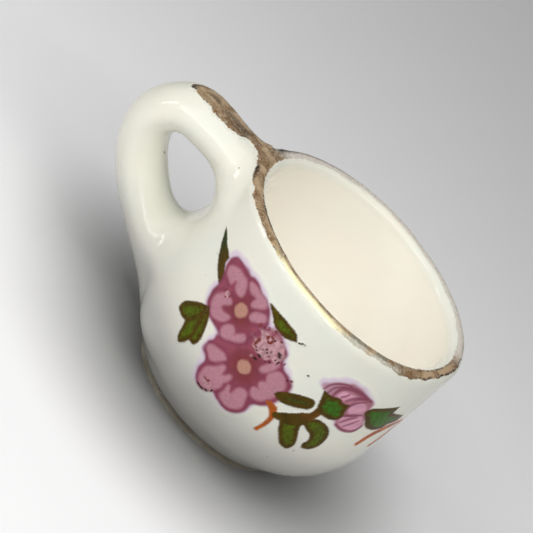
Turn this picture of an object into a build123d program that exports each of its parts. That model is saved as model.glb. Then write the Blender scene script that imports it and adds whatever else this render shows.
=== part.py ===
from build123d import *
from math import acos, asin, cos, degrees, pi, radians, sin, sqrt
import os

# Miniature porcelain teacup: a bare porcelain body and handle, a glaze coat over each, gold lustre on
# the lip and along the handle, and a spray of transfer-printed flowers on the front.
# Frame: +Z up, origin on the cup's axis in the plane that the foot stands on, handle towards -X,
# flowers towards -Y. Lengths are in millimetres.

# Cup, measured over its glaze
MOUTH_RADIUS = 8.0
CUP_HEIGHT = 12.45
WALL = 1.15
BELLY_RADIUS = 5.1
BELLY_TURN = 45.0
SHORTEST_SLOPE = 0.25
FLOOR_HEIGHT = 1.7
FLOOR_FILLET = 1.6

# Foot ring, left bare
FOOT_RADIUS = 5.0
FOOT_HEIGHT = 0.45
FOOT_WIDTH = 0.85
FOOT_STEP = 0.35

# Coats
GLAZE = 0.12
GILDING = 0.05
TRANSFER = 0.04

# Handle, measured over its glaze. Half widths run round the cup, half depths in the handle's plane,
# and the lower root's height is a share of the cup's.
HANDLE_REACH = 5.55
TOP_ROOT_SINK = 0.35
TOP_HALF_DEPTH = 1.3
BOW_HALF_DEPTH = 1.42
LOWER_HALF_DEPTH = 1.3
TOP_HALF_WIDTH = 2.1
BOW_HALF_WIDTH = 2.15
LOWER_HALF_WIDTH = 2.35
ROOT_FLARE = 0.45
LOWER_ROOT_SHARE = 0.297
LOWER_ROOT_SLOPE = 30.0
LOWER_ROOT_SINK = 3.0

# Gold lustre: degrees round the lip's half circle from the outside, and a band along the handle's top
LIP_GILDING_START = 30.0
LIP_GILDING_END = 118.0
BAND_HALF_WIDTH = 1.05
BAND_NECK_HALF_WIDTH = 0.45
BAND_ROOT_HALF_WIDTH = 1.3
BAND_NECK = 0.8
BAND_LENGTH = 5.3

# Flower spray. Each motif has an anchor on the wall, (girth, rise): girth runs round the wall from
# the front, positive away from the handle, and rise is measured from the spray's own level. Outlines
# are drawn flat about the anchor. A blossom's petals are circles: (bearing, reach, radius).
SPRAY_DROP = 5.65
MOTIF_SINK = 1.5
EYE_RADIUS = 0.38
LOWER_BLOSSOM = (-0.1, 0.0)
LOWER_PETALS = ((-153, 1.5, 0.92), (-110, 1.9, 1.0), (-60, 1.75, 1.0), (9, 1.5, 1.15), (85, 1.55, 1.1))
UPPER_BLOSSOM = (-2.5, 1.95)
UPPER_PETALS = ((154, 1.7, 1.25), (100, 1.2, 0.95), (35, 1.15, 0.9), (-140, 1.35, 1.0), (-63, 1.35, 0.95))
SPEAR_LEAF = (-4.6, 1.75)
SIDE_LEAF = (-3.75, 0.1)
RIM_LEAF = (-0.45, 3.4)
OVAL_LEAF = (3.1, 0.6)
TWIG = (3.9, 0.0)
LEFT_HANGING_LEAF = (4.4, -1.4)
RIGHT_HANGING_LEAF = (5.2, -0.2)
TENDRIL = (2.7, -0.9)
BUD_CALYX = (5.0, 1.5)
ROSEBUD = (5.8, 2.3)
TIP_LEAF = (8.0, 1.3)
TRAILING_TENDRILS = (10.2, 0.4)
TWIG_WIDTH = 0.5
TENDRIL_WIDTH = 0.28

lip_radius = WALL / 2
spray_level = CUP_HEIGHT - SPRAY_DROP
slope_foot = FOOT_RADIUS + FOOT_STEP
steepest_turn = degrees(acos(1 - (MOUTH_RADIUS - slope_foot - SHORTEST_SLOPE) / BELLY_RADIUS))
turn = radians(min(BELLY_TURN, steepest_turn))
slope_top = MOUTH_RADIUS - BELLY_RADIUS * (1 - cos(turn))
slope_rise = (slope_top - slope_foot) * cos(turn) / sin(turn)
belly_height = FOOT_HEIGHT + slope_rise + BELLY_RADIUS * sin(turn)
belly_centre = MOUTH_RADIUS - BELLY_RADIUS


def outer_radius(height):
    """Radius of the glazed outside at a height above the foot's top."""
    below = belly_height - height
    if below <= 0:
        return MOUTH_RADIUS
    if below <= BELLY_RADIUS * sin(turn):
        return belly_centre + sqrt(BELLY_RADIUS**2 - below**2)
    return slope_foot + (height - FOOT_HEIGHT) * sin(turn) / cos(turn)


def belly_point(radius, angle):
    """A point of the belly's arc, or of one concentric with it."""
    return (belly_centre + radius * cos(angle), belly_height - radius * sin(angle))


def wall_curve(radius, end_height):
    """The belly arc and then the slope, from upright down to a height. Returns its end."""
    reached = min(turn, asin(min(1, (belly_height - end_height) / radius)))
    top, middle, low = (belly_point(radius, share * reached) for share in (0, 0.5, 1))
    ThreePointArc(top, middle, low)
    if reached < turn:
        return low
    end = (low[0] - (low[1] - end_height) * sin(turn) / cos(turn), end_height)
    Line(low, end)
    return end


def cup_form(inset, hollow=True):
    """Wall and floor above the foot, with every surface set in from the glazed one."""
    crown = (MOUTH_RADIUS - lip_radius, CUP_HEIGHT - inset)
    lip_level = CUP_HEIGHT - lip_radius
    outside = MOUTH_RADIUS - inset
    inside = MOUTH_RADIUS - WALL + inset
    bevel = (lip_radius - inset) * sin(pi / 4)
    floor = FLOOR_HEIGHT - inset
    with BuildPart() as form:
        with BuildSketch(Plane.XZ) as section:
            with BuildLine():
                foot = wall_curve(BELLY_RADIUS - inset, FOOT_HEIGHT)
                Line((outside, belly_height), (outside, lip_level))
                ThreePointArc((outside, lip_level), (crown[0] + bevel, lip_level + bevel), crown)
                if hollow:
                    ThreePointArc(crown, (crown[0] - bevel, lip_level + bevel), (inside, lip_level))
                    Line((inside, lip_level), (inside, belly_height))
                    corner = wall_curve(BELLY_RADIUS - WALL + inset, floor)
                    Polyline(corner, (0, floor), (0, FOOT_HEIGHT), foot)
                else:
                    Polyline(crown, (0, crown[1]), (0, FOOT_HEIGHT), foot)
            make_face()
            if hollow:
                fillet(section.vertices().sort_by_distance((*corner, 0))[0], FLOOR_FILLET + inset)
        revolve(axis=Axis.Z)
    return form.part


def handle_spine():
    """The handle's centreline, from inside the lip round to inside the lower wall."""
    top = CUP_HEIGHT - TOP_HALF_DEPTH
    root_height = CUP_HEIGHT * LOWER_ROOT_SHARE
    root = (-outer_radius(root_height), root_height)
    span = top - root_height
    bow = -MOUTH_RADIUS - HANDLE_REACH
    slope = radians(LOWER_ROOT_SLOPE)
    approach = HANDLE_REACH * 0.37
    Spline(
        (-MOUTH_RADIUS + TOP_ROOT_SINK, top),
        (-MOUTH_RADIUS - HANDLE_REACH * 0.45, top),
        (bow + HANDLE_REACH * 0.16, top - span * 0.05),
        (bow, top - span * 0.25),
        (bow + HANDLE_REACH * 0.19, top - span * 0.58),
        (root[0] - approach * cos(slope), root[1] + approach * sin(slope)),
        (root[0] + LOWER_ROOT_SINK * cos(slope), root[1] - LOWER_ROOT_SINK * sin(slope)),
        tangents=((-1, 0), (cos(slope), -sin(slope))),
    )


def handle_form(inset):
    """The whole bent handle, set in from its glazed surface, with its ends left square."""
    stations = (
        (0.0, TOP_HALF_WIDTH + ROOT_FLARE, TOP_HALF_DEPTH),
        (0.14, TOP_HALF_WIDTH, TOP_HALF_DEPTH),
        (0.42, BOW_HALF_WIDTH, BOW_HALF_DEPTH),
        (0.72, LOWER_HALF_WIDTH, LOWER_HALF_DEPTH),
        (1.0, LOWER_HALF_WIDTH + ROOT_FLARE, LOWER_HALF_DEPTH),
    )
    with BuildPart() as form:
        with BuildLine(Plane.XZ) as spine:
            handle_spine()
        for share, half_width, half_depth in stations:
            section = Plane(spine.line @ share, x_dir=(0, 1, 0), z_dir=spine.line % share)
            with BuildSketch(section):
                Ellipse(half_width - inset, half_depth - inset)
        sweep(multisection=True)
    return form.part


def leaf(base, tip, width):
    """Flat almond blade between two points."""
    middle = (Vector(*base) + Vector(*tip)) / 2
    side = (Vector(*tip) - Vector(*base)).rotate(Axis.Z, 90).normalized() * (width / 2)
    with BuildSketch() as blade:
        with BuildLine():
            ThreePointArc(base, middle + side, tip)
            ThreePointArc(tip, middle - side, base)
        make_face()
    return blade.sketch


def stroke(width, *points):
    """Flat brush stroke of even width through some points."""
    with BuildSketch() as line:
        with BuildLine():
            Spline(*points)
        trace(line_width=width)
    return line.sketch


def blossom(petals):
    """Flat blossom: a ring of round petals with its heart filled in and its eye left out."""
    with BuildSketch() as flower:
        for bearing, reach, radius in petals:
            with Locations((reach * cos(radians(bearing)), reach * sin(radians(bearing)))):
                Circle(radius)
        Circle(2 * EYE_RADIUS)
        Circle(EYE_RADIUS, mode=Mode.SUBTRACT)
    return flower.sketch


def printed(anchor, *outlines):
    """Flat outlines about an anchor on the wall, wrapped onto it as one thin patch."""
    angle = anchor[0] / MOUTH_RADIUS
    outward = Vector(sin(angle), -cos(angle), 0)
    sunk = outward * (MOUTH_RADIUS - MOTIF_SINK) + Vector(0, 0, spray_level + anchor[1])
    with BuildPart() as patch:
        with BuildSketch(Plane(sunk, x_dir=(cos(angle), sin(angle), 0), z_dir=outward)):
            add(outlines)
        extrude(amount=2 * MOTIF_SINK)
        add(transfer_skin, mode=Mode.INTERSECT)
    return patch.part


def finish_piece(piece, name):
    """Labels a finished piece and writes it to its own file."""
    piece.part.label = name
    export_step(piece.part, f"parts/{name}.step")


os.makedirs("parts", exist_ok=True)

# ---- Porcelain and glaze ----

glazed_cup = cup_form(0)
glazed_block = cup_form(0, hollow=False)
bare_cup = cup_form(GLAZE)
bare_block = cup_form(GLAZE, hollow=False)
glazed_handle = handle_form(0)
bare_handle = handle_form(GLAZE)

with BuildPart() as cup_body:
    add(bare_cup)
    with BuildSketch(Plane.XY):
        Circle(FOOT_RADIUS)
        Circle(FOOT_RADIUS - FOOT_WIDTH, mode=Mode.SUBTRACT)
    extrude(amount=FOOT_HEIGHT)
finish_piece(cup_body, "cup_body")

with BuildPart() as handle:
    add(bare_handle)
    add(bare_block, mode=Mode.SUBTRACT)
finish_piece(handle, "handle")

with BuildPart() as body_glaze:
    add(glazed_cup)
    add(bare_cup, mode=Mode.SUBTRACT)
    add(handle.part, mode=Mode.SUBTRACT)
finish_piece(body_glaze, "body_glaze")

with BuildPart() as handle_glaze:
    add(glazed_handle)
    add(bare_handle, mode=Mode.SUBTRACT)
    add(glazed_block, mode=Mode.SUBTRACT)
finish_piece(handle_glaze, "handle_glaze")

with BuildPart() as foot_well_glaze:
    with BuildSketch(Plane.XY.offset(FOOT_HEIGHT)):
        Circle(FOOT_RADIUS - FOOT_WIDTH)
    extrude(amount=-GLAZE)
finish_piece(foot_well_glaze, "foot_well_glaze")

# ---- Gold lustre ----

gilded_block = cup_form(-GILDING, hollow=False)
gilded_handle = handle_form(-GILDING)

with BuildPart() as rim_gilding:
    with BuildSketch(Plane.XZ):
        with BuildLine():
            centre = (MOUTH_RADIUS - lip_radius, CUP_HEIGHT - lip_radius)
            sweep_angle = LIP_GILDING_END - LIP_GILDING_START
            under = CenterArc(centre, lip_radius, LIP_GILDING_START, sweep_angle)
            over = CenterArc(centre, lip_radius + GILDING, LIP_GILDING_START, sweep_angle)
            Line(under @ 0, over @ 0)
            Line(under @ 1, over @ 1)
        make_face()
    revolve(axis=Axis.Z)
    add(gilded_handle, mode=Mode.SUBTRACT)
finish_piece(rim_gilding, "rim_gilding")

with BuildPart() as handle_gilding:
    with BuildSketch(Plane.XY.offset(CUP_HEIGHT - TOP_HALF_DEPTH)):
        with BuildLine() as edge:
            Spline(
                (-MOUTH_RADIUS + lip_radius, BAND_ROOT_HALF_WIDTH),
                (-MOUTH_RADIUS - BAND_NECK, BAND_NECK_HALF_WIDTH),
                (-MOUTH_RADIUS - (BAND_NECK + BAND_LENGTH) / 2, BAND_HALF_WIDTH),
                (-MOUTH_RADIUS - BAND_LENGTH, 0),
            )
            mirror(about=Plane.XZ)
            Line(edge.line @ 0, edge.line @ 1)
        make_face()
    extrude(amount=2 * TOP_HALF_DEPTH)
    add(gilded_handle, mode=Mode.INTERSECT)
    add(glazed_handle, mode=Mode.SUBTRACT)
    add(gilded_block, mode=Mode.SUBTRACT)
finish_piece(handle_gilding, "handle_gilding")

# ---- Flower spray ----

with BuildPart() as skin:
    add(cup_form(-TRANSFER, hollow=False))
    add(glazed_block, mode=Mode.SUBTRACT)
transfer_skin = skin.part

with BuildPart() as lower_blossom:
    add(printed(LOWER_BLOSSOM, blossom(LOWER_PETALS)))
finish_piece(lower_blossom, "lower_blossom")

with BuildPart() as upper_blossom:
    add(printed(UPPER_BLOSSOM, blossom(UPPER_PETALS)))
    add(lower_blossom.part, mode=Mode.SUBTRACT)
finish_piece(upper_blossom, "upper_blossom")

with BuildSketch() as eye:
    Circle(EYE_RADIUS)

with BuildPart() as lower_blossom_eye:
    add(printed(LOWER_BLOSSOM, eye.sketch))
finish_piece(lower_blossom_eye, "lower_blossom_eye")

with BuildPart() as upper_blossom_eye:
    add(printed(UPPER_BLOSSOM, eye.sketch))
finish_piece(upper_blossom_eye, "upper_blossom_eye")

with BuildPart() as spear_leaf:
    add(printed(SPEAR_LEAF, leaf((0.3, -0.1), (-2.8, 1.45), 0.6)))
    add(upper_blossom.part, mode=Mode.SUBTRACT)
finish_piece(spear_leaf, "spear_leaf")

with BuildPart() as side_leaf:
    left_blade = leaf((0.1, 0.1), (-1.5, -1.3), 0.9)
    middle_blade = leaf((0, 0.1), (0.1, -2.4), 0.75)
    right_blade = leaf((-0.1, 0.2), (0.85, -1.75), 0.7)
    add(printed(SIDE_LEAF, left_blade, middle_blade, right_blade))
    add(upper_blossom.part, mode=Mode.SUBTRACT)
finish_piece(side_leaf, "side_leaf")

with BuildPart() as rim_leaf:
    add(printed(RIM_LEAF, leaf((-1.2, 0), (1.25, 0.05), 0.75)))
    add(upper_blossom.part, mode=Mode.SUBTRACT)
    add(lower_blossom.part, mode=Mode.SUBTRACT)
finish_piece(rim_leaf, "rim_leaf")

with BuildPart() as twig:
    add(printed(TWIG, stroke(TWIG_WIDTH, (0.6, 1.0), (0.35, 0.25), (-0.2, -0.35), (-0.8, -0.8))))
finish_piece(twig, "twig")

with BuildPart() as oval_leaf:
    add(printed(OVAL_LEAF, leaf((-1.0, -0.6), (0.95, 0.55), 0.68)))
    add(lower_blossom.part, mode=Mode.SUBTRACT)
    add(twig.part, mode=Mode.SUBTRACT)
finish_piece(oval_leaf, "oval_leaf")

with BuildPart() as left_hanging_leaf:
    add(printed(LEFT_HANGING_LEAF, leaf((-0.85, 0.75), (0.75, -0.65), 0.95)))
    add(twig.part, mode=Mode.SUBTRACT)
finish_piece(left_hanging_leaf, "left_hanging_leaf")

with BuildPart() as right_hanging_leaf:
    with BuildSketch() as crescent:
        with BuildLine():
            ThreePointArc((-0.9, 0.6), (0.9, 0.25), (0.6, -1.4))
            ThreePointArc((0.6, -1.4), (0.2, -0.35), (-0.9, 0.6))
        make_face()
    add(printed(RIGHT_HANGING_LEAF, crescent.sketch))
    add(twig.part, mode=Mode.SUBTRACT)
finish_piece(right_hanging_leaf, "right_hanging_leaf")

with BuildPart() as tendril:
    add(printed(TENDRIL, stroke(TENDRIL_WIDTH, (-0.35, 0.4), (0.1, 0.1), (0.25, -0.5), (0.2, -1.25))))
    add(lower_blossom.part, mode=Mode.SUBTRACT)
finish_piece(tendril, "tendril")

with BuildPart() as bud_calyx:
    with BuildSketch() as cup_of_bud:
        Ellipse(0.78, 0.6)
    add(printed(BUD_CALYX, cup_of_bud.sketch, leaf((0, 0), (-1.1, 0.7), 0.6), leaf((0, 0), (0.8, 0.8), 0.6)))
    add(twig.part, mode=Mode.SUBTRACT)
finish_piece(bud_calyx, "bud_calyx")

with BuildPart() as rosebud:
    with BuildSketch() as petals:
        with Locations((-0.7, 0.45)):
            Ellipse(1.3, 0.78, rotation=12)
        with Locations((0.85, -0.45)):
            Ellipse(0.85, 1.3, rotation=-25)
    add(printed(ROSEBUD, petals.sketch))
    add(bud_calyx.part, mode=Mode.SUBTRACT)
    add(twig.part, mode=Mode.SUBTRACT)
finish_piece(rosebud, "rosebud")

with BuildPart() as tip_leaf:
    add(printed(TIP_LEAF, leaf((0, -0.1), (0.7, 1.95), 1.15), leaf((0, 0), (2.0, 1.1), 0.85)))
    add(rosebud.part, mode=Mode.SUBTRACT)
finish_piece(tip_leaf, "tip_leaf")

with BuildPart() as trailing_tendrils:
    long_stroke = stroke(TENDRIL_WIDTH, (-1.1, -0.6), (-0.7, 0.5), (0.9, 0.95))
    short_stroke = stroke(TENDRIL_WIDTH, (0.35, -0.75), (0.65, 0.2), (1.6, 0.7))
    add(printed(TRAILING_TENDRILS, long_stroke, short_stroke))
    add(tip_leaf.part, mode=Mode.SUBTRACT)
finish_piece(trailing_tendrils, "trailing_tendrils")
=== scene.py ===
import math
import bpy
import numpy as np
from mathutils import Matrix, Vector


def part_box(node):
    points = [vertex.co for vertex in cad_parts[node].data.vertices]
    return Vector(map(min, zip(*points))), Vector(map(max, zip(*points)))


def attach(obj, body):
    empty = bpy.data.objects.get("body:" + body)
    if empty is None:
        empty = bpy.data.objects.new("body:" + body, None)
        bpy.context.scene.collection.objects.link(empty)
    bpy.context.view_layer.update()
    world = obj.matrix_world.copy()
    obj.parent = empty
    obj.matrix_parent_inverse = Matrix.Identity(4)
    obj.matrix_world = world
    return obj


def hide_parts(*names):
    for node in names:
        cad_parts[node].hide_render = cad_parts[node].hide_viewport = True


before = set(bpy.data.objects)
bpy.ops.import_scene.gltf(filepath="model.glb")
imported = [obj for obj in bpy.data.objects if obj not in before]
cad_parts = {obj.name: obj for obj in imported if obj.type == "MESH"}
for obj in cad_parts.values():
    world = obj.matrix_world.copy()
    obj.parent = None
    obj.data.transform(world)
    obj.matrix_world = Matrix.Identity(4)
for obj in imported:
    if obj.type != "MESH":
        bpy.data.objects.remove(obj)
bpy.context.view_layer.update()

MM = 0.001

# All shapes below are worked out in millimetres, in the CAD's frame: +Z up the cup's axis, handle
# towards -X, flowers towards -Y. "Girth" is the distance round the wall from the front, positive
# away from the handle.

# ---- sizes from the CAD frame
glaze_high = np.array(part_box("body_glaze")[1]) / MM
handle_low = np.array(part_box("handle_glaze")[0]) / MM
foot_top = np.array(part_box("foot_well_glaze")[1])[2] / MM
MOUTH = glaze_high[0]
TOP = glaze_high[2]
BOW_DEPTH = 1.42
REACH = -handle_low[0] - MOUTH - BOW_DEPTH
WALL = 1.15
LIP = WALL / 2
BELLY = 5.1
FLOOR = 1.7
FLOOR_FILLET = 1.6
SLOPE_FOOT = 5.35
TURN = math.radians(45)
BASE = foot_top + 0.02
PAST_AXIS = -3
SHY = 0.03  # how far the visible surface stays inside the CAD's
belly_centre = MOUTH - BELLY
slope_top = MOUTH - BELLY * (1 - math.cos(TURN))
belly_height = foot_top + (slope_top - SLOPE_FOOT) / math.tan(TURN) + BELLY * math.sin(TURN)
lip_centre = (MOUTH - LIP, TOP - LIP)


# ---- small numeric tools
def ramp(low, high, x):
    """0 below low, 1 above high, smooth between. A high below low turns it round."""
    t = np.clip((x - low) / (high - low), 0, 1)
    return t * t * (3 - 2 * t)


def fade(a, b, share):
    """a where the share is 0, b where it is 1."""
    return a * (1 - share) + b * share


def mottle(a, b, size, seed):
    """Smooth noise from 0 to 1 over two coordinates, with features of a size."""
    table = np.random.default_rng(seed).random((64, 64))
    a, b = np.asarray(a) / size, np.asarray(b) / size
    i, j = np.floor(a).astype(int), np.floor(b).astype(int)
    u, v = a - i, b - j
    u, v = u * u * (3 - 2 * u), v * v * (3 - 2 * v)
    row = fade(table[i % 64, j % 64], table[i % 64, (j + 1) % 64], v)
    next_row = fade(table[(i + 1) % 64, j % 64], table[(i + 1) % 64, (j + 1) % 64], v)
    return fade(row, next_row, u)


def linear(r, g, b):
    """An sRGB colour of 0 to 255 as the linear numbers that shaders take."""
    c = np.array((r, g, b)) / 255
    return np.where(c <= 0.04045, c / 12.92, ((c + 0.055) / 1.055) ** 2.4)


def arc(centre, radius, start, end, count):
    """Points along an arc, its angles in degrees."""
    a = np.radians(np.linspace(start, end, count))
    return np.stack((centre[0] + radius * np.cos(a), centre[1] + radius * np.sin(a)), 1)


def bezier(a, b, c, count):
    """Points along a curve from a to c, pulled towards b."""
    t = np.linspace(0, 1, count)[:, None]
    return (1 - t) ** 2 * np.array(a) + 2 * t * (1 - t) * np.array(b) + t**2 * np.array(c)


def smooth_line(points, closed=False, sharp=(), per_span=10):
    """A smooth curve through points. Those numbered in sharp are corners."""
    p = []
    for k, point in enumerate(points):
        p += [point] * (3 if k in sharp else 1)
    p = np.array(p, float)
    ends = (p[-1:], p[:2]) if closed else (p[:1], p[-1:])
    q = np.concatenate((ends[0], p, ends[1]))
    out = []
    t = np.linspace(0, 1, per_span, endpoint=False)[:, None]
    for a, b, c, d in zip(q[:-3], q[1:-2], q[2:-1], q[3:]):
        if np.allclose(b, c):
            continue
        out.append(
            0.5 * (2 * b + (c - a) * t + (2 * a - 5 * b + 4 * c - d) * t**2 + (3 * b - a - 3 * c + d) * t**3)
        )
    line = np.concatenate(out)
    return line if closed else np.concatenate((line, p[-1:]))


def segment_distance(x, y, a, b):
    """Distance from each point to the nearest of some segments, with where on which one."""
    best = np.full(x.shape, 1e9)
    place = np.zeros(x.shape)
    for k, (p, q) in enumerate(zip(a, b)):
        d = q - p
        t = np.clip(((x - p[0]) * d[0] + (y - p[1]) * d[1]) / max(d @ d, 1e-12), 0, 1)
        far = np.hypot(x - p[0] - t * d[0], y - p[1] - t * d[1])
        nearer = far < best
        best[nearer] = far[nearer]
        place[nearer] = (k + t[nearer]) / len(a)
    return best, place


def outline_distance(x, y, outline):
    """Distance to a closed outline, negative inside."""
    after = np.roll(outline, -1, 0)
    far, _ = segment_distance(x, y, outline, after)
    inside = np.zeros(x.shape, bool)
    for p, q in zip(outline, after):
        if p[1] != q[1]:
            crosses = (p[1] > y) != (q[1] > y)
            inside ^= crosses & (x < p[0] + (y - p[1]) * (q[0] - p[0]) / (q[1] - p[1]))
    return np.where(inside, -far, far)


# ---- the glazed surface, as a distance
FOOT_POINTS, BELLY_POINTS, LIP_POINTS = 6, 40, 40


def cup_section():
    """Half of the cup's section as a closed outline, run a little past the axis."""
    outer = arc((belly_centre, belly_height), BELLY, -math.degrees(TURN), 0, BELLY_POINTS)
    lip = arc(lip_centre, LIP, 0, 180, LIP_POINTS)
    radius = BELLY - WALL
    inner = arc((belly_centre, belly_height), radius, 0, -math.degrees(TURN), 30)
    low = inner[-1]
    corner = (low[0] - (low[1] - FLOOR) * math.tan(TURN), FLOOR)
    run = FLOOR_FILLET * math.tan(TURN / 2)
    before = (corner[0] + run * math.sin(TURN), corner[1] + run * math.cos(TURN))
    floor = bezier(before, corner, (corner[0] - run, FLOOR), 12)
    foot = bezier(
        (SLOPE_FOOT - 0.25, BASE), (SLOPE_FOOT - 0.02, BASE), (SLOPE_FOOT + 0.13, BASE + 0.15), FOOT_POINTS
    )
    return np.concatenate((foot, outer, lip, inner, floor, [(PAST_AXIS, FLOOR), (PAST_AXIS, BASE)]))


# Distances to the section, and to a solid block of the cup's outer shape, are worked out once
TABLE_STEP = 0.04
table_r = np.arange(0, 15.2, TABLE_STEP)
table_z = np.arange(-0.6, 13.6, TABLE_STEP)
mesh_r, mesh_z = np.meshgrid(table_r, table_z, indexing="ij")
section = cup_section()
wall_table = outline_distance(mesh_r, mesh_z, section)
outer_half = section[: FOOT_POINTS + BELLY_POINTS + LIP_POINTS // 2]
block_outline = np.concatenate((outer_half, [(PAST_AXIS, TOP), (PAST_AXIS, BASE)]))
block_table = outline_distance(mesh_r, mesh_z, block_outline)


def look_up(table, r, z):
    """A table's value at a radius and height, smooth between its cells."""
    i = np.clip(r / TABLE_STEP, 0, table.shape[0] - 1.001)
    j = np.clip((z - table_z[0]) / TABLE_STEP, 0, table.shape[1] - 1.001)
    a, b = i.astype(int), j.astype(int)
    u, v = i - a, j - b
    below = fade(table[a, b], table[a + 1, b], u)
    above = fade(table[a, b + 1], table[a + 1, b + 1], u)
    return fade(below, above, v)


def spline_through(points, first, last, count):
    """A cubic spline through points, with set end directions, as evenly spaced samples."""
    p = np.array(points, float)
    t = np.concatenate(([0], np.cumsum(np.hypot(*np.diff(p, axis=0).T))))
    h = np.diff(t)
    n = len(p)
    m = np.zeros((n, n))
    right = np.zeros((n, 2))
    m[0, 0] = m[-1, -1] = 1
    right[0], right[-1] = first, last
    for k in range(1, n - 1):
        m[k, k - 1], m[k, k], m[k, k + 1] = h[k], 2 * (h[k - 1] + h[k]), h[k - 1]
        right[k] = 3 * (h[k] * (p[k] - p[k - 1]) / h[k - 1] + h[k - 1] * (p[k + 1] - p[k]) / h[k])
    slope = np.linalg.solve(m, right)
    s = np.linspace(0, t[-1], count)
    k = np.clip(np.searchsorted(t, s) - 1, 0, n - 2)
    u = ((s - t[k]) / h[k])[:, None]
    hk = h[k][:, None]
    return (
        (1 + 2 * u) * (1 - u) ** 2 * p[k]
        + u * (1 - u) ** 2 * hk * slope[k]
        + u * u * (3 - 2 * u) * p[k + 1]
        - u * u * (1 - u) * hk * slope[k + 1]
    )


# The handle's middle line, from the wall at the top to the wall lower down
spine_top = TOP - 1.3
root_height = TOP * 0.297
root_radius = belly_centre + math.sqrt(BELLY**2 - (belly_height - root_height) ** 2)
span = spine_top - root_height
bow = -MOUTH - REACH
dip = math.radians(30)
spine = spline_through(
    (
        (-MOUTH + 0.35, spine_top),
        (-MOUTH - REACH * 0.45, spine_top),
        (bow + REACH * 0.16, spine_top - span * 0.05),
        (bow, spine_top - span * 0.25),
        (bow + REACH * 0.19, spine_top - span * 0.58),
        (-root_radius - REACH * 0.37 * math.cos(dip), root_height + REACH * 0.37 * math.sin(dip)),
        (-root_radius + 3 * math.cos(dip), root_height - 3 * math.sin(dip)),
    ),
    (-1, 0),
    (math.cos(dip), -math.sin(dip)),
    180,
)
spine_side = np.gradient(spine, axis=0)
spine_side /= np.hypot(*spine_side.T)[:, None]
spine_side = np.stack((-spine_side[:, 1], spine_side[:, 0]), 1)
share = np.linspace(0, 1, len(spine))
half_width = np.interp(share, (0, 0.06, 0.14, 0.42, 0.72, 0.9, 1), (2.75, 2.3, 2.1, 2.15, 2.35, 2.6, 2.8))
half_depth = np.interp(share, (0, 0.14, 0.42, 0.72, 1), (1.3, 1.3, 1.42, 1.3, 1.3))


def handle_distance(x, y, z):
    """Rough distance to the bent handle, whose sections are ellipses."""
    best = np.full(x.shape, 1e9)
    near = np.zeros(x.shape, int)
    for k in range(len(spine)):
        far = (x - spine[k, 0]) ** 2 + (z - spine[k, 1]) ** 2
        closer = far < best
        best[closer] = far[closer]
        near[closer] = k
    dx, dz = x - spine[near, 0], z - spine[near, 1]
    across = dx * spine_side[near, 0] + dz * spine_side[near, 1]
    along = dx * spine_side[near, 1] - dz * spine_side[near, 0]
    along = np.where((near == 0) | (near == len(spine) - 1), np.abs(along), 0)
    w, d = half_width[near], half_depth[near]
    one = np.sqrt((y / w) ** 2 + (across / d) ** 2) + 1e-9
    two = np.sqrt((y / w**2) ** 2 + (across / d**2) ** 2) + 1e-9
    side = one * (one - 1) / two
    return np.where(along > 0, np.hypot(np.maximum(side, 0), along), side)


def bulge(x, y, z, bearing, height, wide, high):
    """1 at a place on the wall, falling to 0 over a width and a height."""
    off = np.degrees(np.arctan2(x, -y)) - bearing
    return np.exp(-((off / wide) ** 2) - ((z - height) / high) ** 2)


def lumps(x, y, z):
    """How far the hand-finished surface stands out from the true one: a fold low on the left, and waves."""
    return (
        0.22 * bulge(x, y, z, -47, 2.3, 13, 0.75)
        - 0.03 * bulge(x, y, z, -38, 1.2, 12, 0.4)
        + 0.022 * np.sin(0.9 * x + 0.4 * z + 1.3) * np.sin(0.8 * y - 0.5 * z)
        + 0.014 * np.sin(1.7 * x - 1.1 * y + 0.6) * np.sin(1.5 * z + 0.7 * y)
        + 0.006 * np.sin(3.1 * y + 2.3 * z) * np.sin(2.9 * x - 1.7 * z + 2)
    )


def smooth_least(a, b, reach):
    """The lesser of two distances, rounded over a reach where they are alike."""
    mix = np.clip(0.5 + 0.5 * (a - b) / reach, 0, 1)
    return fade(a, b, mix) - reach * mix * (1 - mix)


def surface(x, y, z):
    """Distance to the glazed surface, negative inside."""
    r = np.hypot(x, y)
    wall = look_up(wall_table, r, z)
    out = wall.copy()
    pick = x < -3.2
    hx, hy, hz = x[pick], y[pick], z[pick]
    handle = handle_distance(hx, hy, hz)
    handle = np.maximum(handle, -look_up(block_table, r[pick], hz) - 0.2)
    # The fillet is wide between the roots and narrow under the lower one
    fillet = 1.0 + 1.35 * ramp(12.0, 9.8, hz) - 1.65 * ramp(4.8, 3.0, hz)
    joined = smooth_least(handle, wall[pick], fillet)
    # The handle's top is cut off level with the rim
    out[pick] = -smooth_least(TOP - 0.01 - hz, -joined, 0.2)
    return out + SHY - lumps(x, y, z) * ramp(0.6, 1.6, z)


def gradient(x, y, z, step=0.02):
    """The way in which the distance grows."""
    return np.stack(
        (
            surface(x + step, y, z) - surface(x - step, y, z),
            surface(x, y + step, z) - surface(x, y - step, z),
            surface(x, y, z + step) - surface(x, y, z - step),
        ),
        1,
    ) / (2 * step)


# ---- mesh tools
def add_object(name, data):
    made = bpy.data.objects.new(name, data)
    bpy.context.scene.collection.objects.link(made)
    return made


def new_mesh(name, verts, faces):
    """A smooth piece from points in mm."""
    mesh = bpy.data.meshes.new(name)
    mesh.from_pydata((np.asarray(verts) * MM).tolist(), [], np.asarray(faces).tolist())
    mesh.polygons.foreach_set("use_smooth", [True] * len(mesh.polygons))
    return add_object(name, mesh)


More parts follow.
